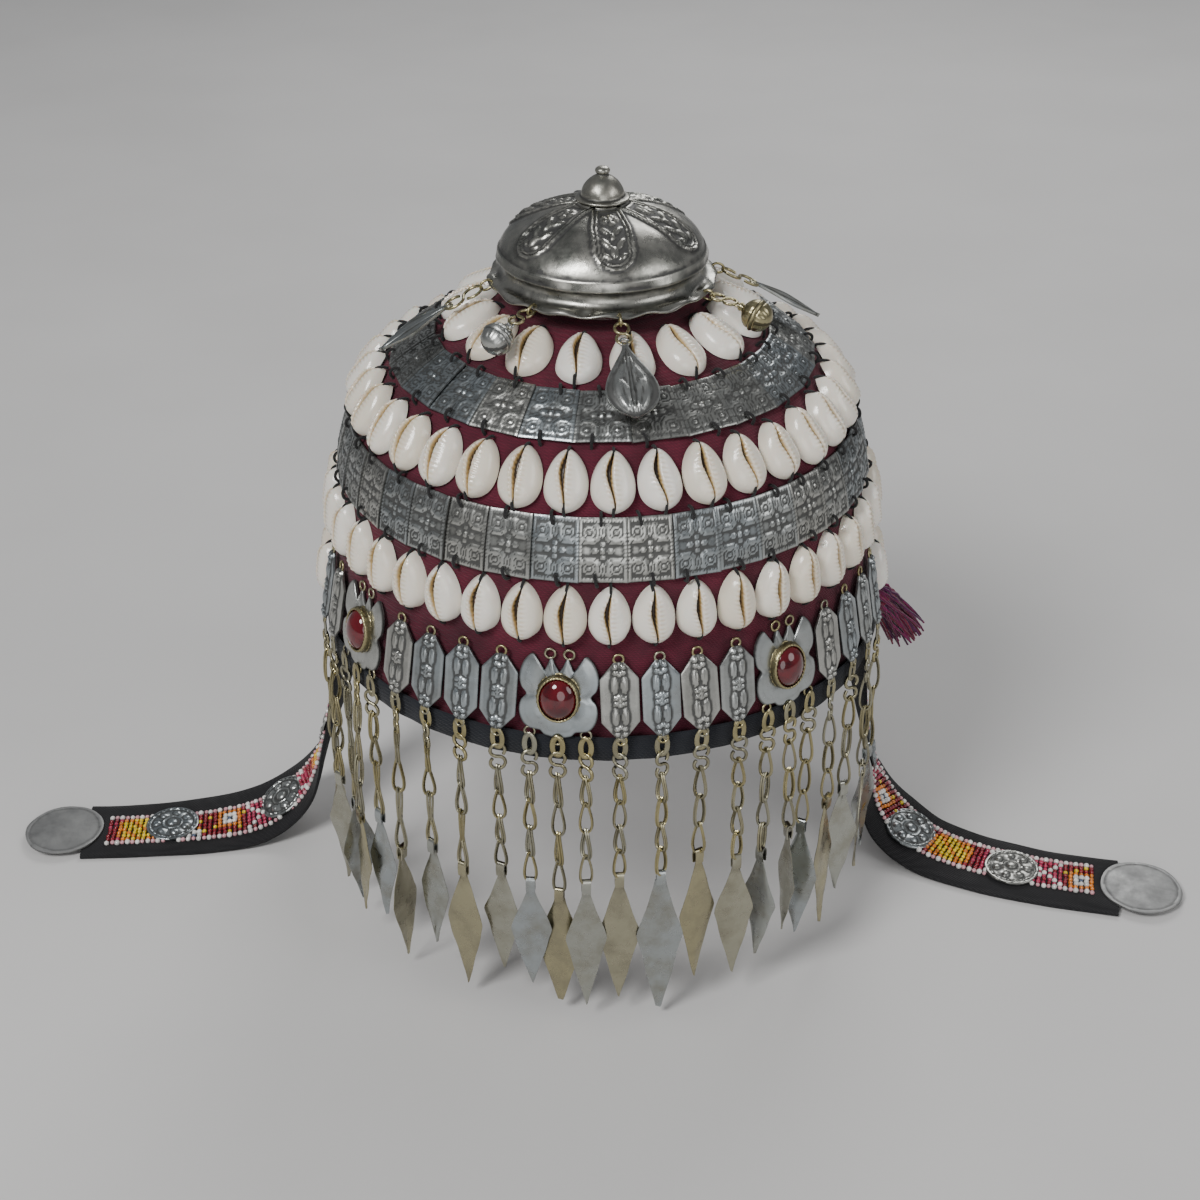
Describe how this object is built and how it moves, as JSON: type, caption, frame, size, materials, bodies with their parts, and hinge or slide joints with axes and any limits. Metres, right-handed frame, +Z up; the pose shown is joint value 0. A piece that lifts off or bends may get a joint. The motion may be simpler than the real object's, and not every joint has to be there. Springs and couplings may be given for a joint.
{
  "type": "embroidered folk hat",
  "caption": "Domed cloth cap with cowrie rows, stamped metal bands, a metal crown with pendants, a chain and blade fringe and two bead-embroidered lappets.",
  "frame": {"origin": "centre of the rim's lower edge, where a head goes in", "axes": "+Z up through the crown, the front faces -Y, +X to the right seen from the front"},
  "size_m": [0.4328, 0.2015, 0.2634],
  "materials": {
    "crimson_cloth": "plain woven cloth, matt",
    "navy_cloth": "plain woven cloth, matt",
    "aged_silver": "stamped white metal, worn and tarnished",
    "brass_alloy": "dull brass wire and sheet",
    "cowrie_shell": "natural shell, glossy",
    "red_glass": "polished cabochon",
    "embroidered_felt": "felt with bead embroidery",
    "tassel_wool": "wool yarn with seed beads"
  },
  "bodies": {
    "root": {"cap_shell": "crimson_cloth", "cowrie_row_1": "cowrie_shell", "cowrie_row_2": "cowrie_shell", "cowrie_row_3": "cowrie_shell", "cowrie_row_4": "cowrie_shell", "crown_dome": "aged_silver", "crown_knob": "aged_silver", "discs_left": "aged_silver", "discs_right": "aged_silver", "flower_plaque_front": "aged_silver", "flower_plaque_left": "aged_silver", "flower_plaque_right": "aged_silver", "hex_plaques_left_front": "aged_silver", "hex_plaques_left_side": "aged_silver", "hex_plaques_right_front": "aged_silver", "hex_plaques_right_side": "aged_silver", "lappet_left": "embroidered_felt", "lappet_right": "embroidered_felt", "medallion_left": "aged_silver", "medallion_right": "aged_silver", "pendant_1_drop": "aged_silver", "pendant_2_bell": "aged_silver", "pendant_3_leaf": "aged_silver", "pendant_4_bell": "aged_silver", "pendant_5_drop": "aged_silver", "pendant_6_bell": "aged_silver", "pendant_7_leaf": "aged_silver", "pendant_8_bell": "aged_silver", "plaque_band_lower": "aged_silver", "plaque_band_upper": "aged_silver", "rim_band": "navy_cloth", "stone_front": "red_glass", "stone_left": "red_glass", "stone_right": "red_glass", "strand_01": "brass_alloy", "strand_02": "brass_alloy", "strand_03": "brass_alloy", "strand_04": "brass_alloy", "strand_05": "brass_alloy", "strand_06": "brass_alloy", "strand_07": "brass_alloy", "strand_08": "brass_alloy", "strand_09": "brass_alloy", "strand_10": "brass_alloy", "strand_11": "brass_alloy", "strand_12": "brass_alloy", "strand_13": "brass_alloy", "strand_14": "brass_alloy", "strand_15": "brass_alloy", "strand_16": "brass_alloy", "strand_17": "brass_alloy", "strand_18": "brass_alloy", "strand_19": "brass_alloy", "strand_20": "brass_alloy", "strand_21": "brass_alloy", "strand_22": "brass_alloy", "strand_23": "brass_alloy", "tassel_left": "tassel_wool", "tassel_right": "tassel_wool"}
  },
  "joints": []
}
